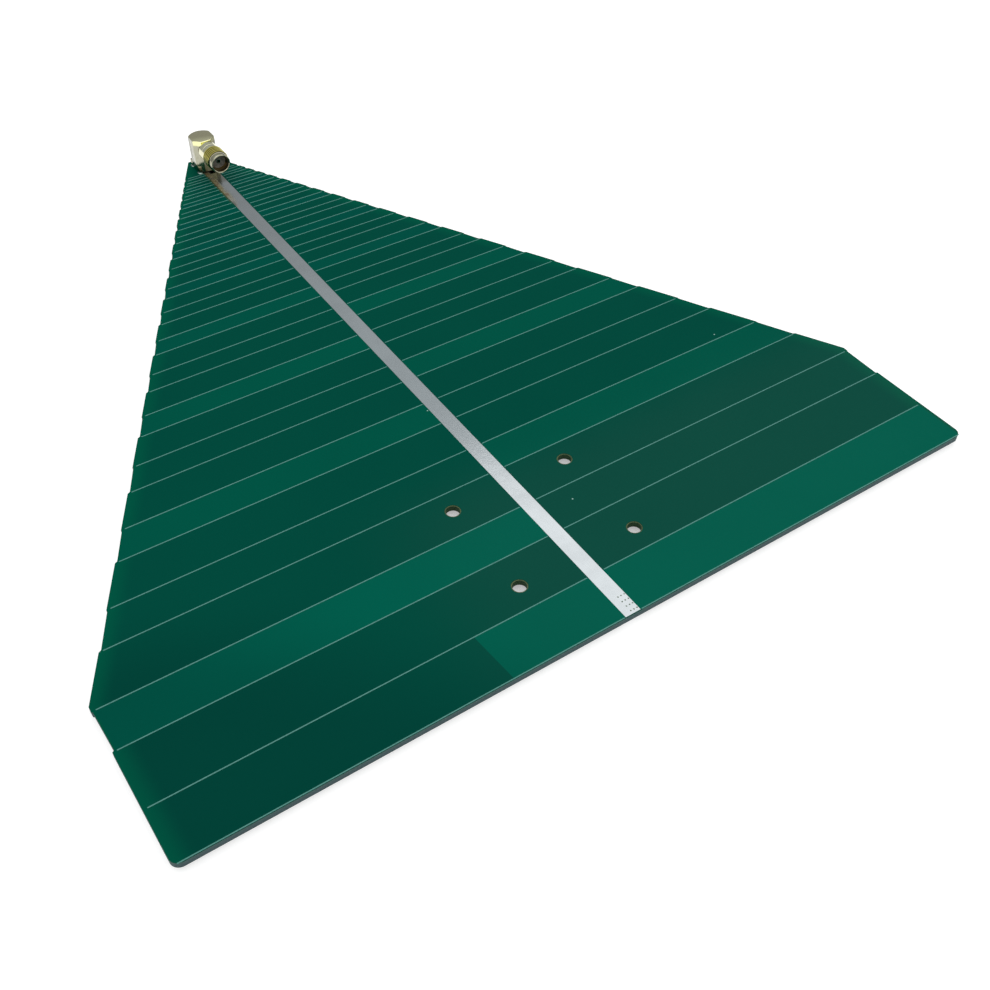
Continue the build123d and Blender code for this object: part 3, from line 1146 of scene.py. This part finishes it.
@dataclass
class Joints:
    """Solder at the four legs and at the centre pin, with hollow fillets, in millimetres."""

    steps: int = 32
    leg_pitch: float = 5.08
    pad_radius: float = 1.08
    leg_tip: float = 0.66
    pin_tip: float = 0.5
    pin_depth: float = 0.6
    pin_radius: float = 0.6
    board_top: float = 1.5
    board_bottom: float = -0.1
    upper_height: float = 0.4
    lower_height: float = 0.7
    levels: int = 6
    hollow: float = 1.9

    def fillet(self, tip: float, height: float, start: float, way: int) -> list[Span]:
        """Hollow fillet from the pad up the leg.

        Args:
            tip: radius where it ends on the leg.
            height: how far it climbs.
            start: level of the pad.
            way: 1 upwards, -1 downwards.

        Returns:
            Points of (level, radius) from the pad to the tip.
        """
        points = []
        for level in range(self.levels + 1):
            share = level / self.levels
            radius = tip + (self.pad_radius - tip) * (1.0 - share) ** self.hollow
            points.append((start + way * height * share, radius))
        return points

    def build(self) -> None:
        """Builds both kinds of joint in place of their nodes."""
        low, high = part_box("feed_pin")
        middle = (low.x + high.x) / 2 / MM
        up = Vector((0.0, 0.0, 1.0))
        tail = [(self.board_bottom - self.lower_height, 0.0)]
        legs = Shape()
        profile = [(self.board_top + self.upper_height, 0.0)]
        profile += reversed(self.fillet(self.leg_tip, self.upper_height, self.board_top, 1))
        profile += self.fillet(self.leg_tip, self.lower_height, self.board_bottom, -1)
        profile += tail
        half = self.leg_pitch / 2
        for x_way in (-1, 1):
            for y_way in (-1, 1):
                centre = Vector((middle + x_way * half, y_way * half, 0.0))
                legs.turned(profile, centre, up, self.steps)
        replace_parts(legs.finished("leg_joints", Finishes.SOLDER.value), "leg_solder")
        pin = Shape()
        plug_top = self.board_top - self.pin_depth
        profile = [
            (plug_top, 0.0),
            (plug_top, self.pin_radius),
            (self.board_bottom, self.pin_radius),
        ]
        profile += self.fillet(self.pin_tip, self.lower_height, self.board_bottom, -1)
        profile += tail
        pin.turned(profile, Vector((middle, 0.0, 0.0)), up, self.steps)
        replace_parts(pin.finished("pin_joint", Finishes.SOLDER.value), "pin_solder")


@dataclass
class Lamp:
    """A soft rectangular lamp, in metres."""

    name: str
    place: Vector
    aim: Vector
    size: Span
    power: float

    def build(self) -> None:
        """Hangs the lamp."""
        data = bpy.data.lights.new(self.name, "AREA")
        data.shape = "RECTANGLE"
        data.size, data.size_y = self.size
        data.energy = self.power
        lamp = bpy.data.objects.new(self.name, data)
        lamp.location = self.place
        lamp.rotation_euler = (self.aim - self.place).to_track_quat("-Z", "Y").to_euler()
        bpy.context.scene.collection.objects.link(lamp)


@dataclass
class Studio:
    """Camera, floor, card, lamp and world, in metres of the row frame."""

    camera_place: Vector = field(default_factory=lambda: Vector((-0.145809, 0.111203, 0.192978)))
    camera_aim: Vector = field(default_factory=lambda: Vector((0.007910, -0.001578, 0.0015)))
    camera_roll: float = 2.0599
    camera_shift: float = -0.03395
    lens: float = 43.863
    sensor_width: float = 36.0
    clip_start: float = 0.005
    floor_half: float = 4.0
    floor_gap: float = 0.00005
    card_course: tuple[Span, ...] = ((1.20, 0.02), (0.90, 1.01), (-1.15, 1.01))
    card_half: float = 1.6
    world_level: float = 0.36
    lamp: Lamp = field(
        default_factory=lambda: Lamp(
            name="ceiling_lamp",
            place=Vector((-0.10, 0.0, 1.0)),
            aim=Vector((-0.10, 0.0, 0.0)),
            size=(2.0, 2.4),
            power=18.5,
        )
    )

    def build(self) -> None:
        """Sets up everything round the object."""
        self.build_camera()
        self.build_floor()
        self.build_card()
        self.lamp.build()
        self.build_world()
        bpy.context.scene.view_settings.view_transform = "Standard"

    def build_camera(self) -> None:
        """Places the camera where the photograph was taken from."""
        data = bpy.data.cameras.new("camera")
        data.lens = self.lens
        data.sensor_width = self.sensor_width
        data.shift_x = self.camera_shift
        data.clip_start = self.clip_start
        data.dof.use_dof = False
        camera = bpy.data.objects.new("camera", data)
        turn = (self.camera_aim - self.camera_place).to_track_quat("-Z", "Y").to_matrix()
        turn = turn @ Matrix.Rotation(math.radians(self.camera_roll), 3, "Z")
        camera.matrix_world = Matrix.Translation(self.camera_place) @ turn.to_4x4()
        bpy.context.scene.collection.objects.link(camera)
        bpy.context.scene.camera = camera

    def build_floor(self) -> None:
        """Lays the floor just under the lowest point of the object."""
        low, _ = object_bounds()
        level = low[2] - self.floor_gap
        half = self.floor_half
        corners = [
            (-half, -half, level),
            (half, -half, level),
            (half, half, level),
            (-half, half, level),
        ]
        self.staged("floor", corners, FloorFinish("studio_floor"))

    def build_card(self) -> None:
        """Hangs the grey card that the tin and the gold mirror, up the front and over the lamp."""
        half = self.card_half
        course = zip(self.card_course, self.card_course[1:])
        for number, ((x, z), (next_x, next_z)) in enumerate(course):
            corners = [
                (x, -half, z),
                (x, half, z),
                (next_x, half, next_z),
                (next_x, -half, next_z),
            ]
            card = self.staged(f"grey_card_{number}", corners, CardFinish("grey_card"))
            card.visible_camera = False

    @staticmethod
    def staged(name: str, corners: list[Point], finish: Finish) -> bpy.types.Object:
        """Makes a flat sheet that belongs to the studio.

        Args:
            name: the sheet's name.
            corners: its corners in order, in metres.
            finish: what it is finished in.

        Returns:
            The sheet.
        """
        shape = bmesh.new()
        shape.faces.new([shape.verts.new(corner) for corner in corners])
        data = bpy.data.meshes.new(name)
        shape.to_mesh(data)
        shape.free()
        sheet = bpy.data.objects.new(name, data)
        bpy.context.scene.collection.objects.link(sheet)
        finish.dress(sheet)
        sheet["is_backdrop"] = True
        return sheet

    def build_world(self) -> None:
        """Lights the room evenly and shows it white to the camera, metal and glass."""
        world = bpy.data.worlds.new("studio")
        world.use_nodes = True
        graph = Graph(world.node_tree)
        level = graph.mix(graph.seen(), (self.world_level,) * 3, WHITE)
        light = graph.node("ShaderNodeBackground", None, {"Color": level, "Strength": 1.0})
        graph.close(light, "ShaderNodeOutputWorld")
        bpy.context.scene.world = world


def plain(box: tuple[Any, Any]) -> list[list[float]]:
    """A box as plain lists of numbers."""
    return [[float(value) for value in corner] for corner in box]


def main() -> None:
    """Builds every class in order."""
    logging.basicConfig(level=logging.INFO, format="%(name)s: %(message)s")
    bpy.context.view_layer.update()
    Studio().build()
    Board(frame["nodes"]).dress()
    Jack(frame["nodes"]).build()
    Joints().build()


if __name__ == "__main__":
    main()
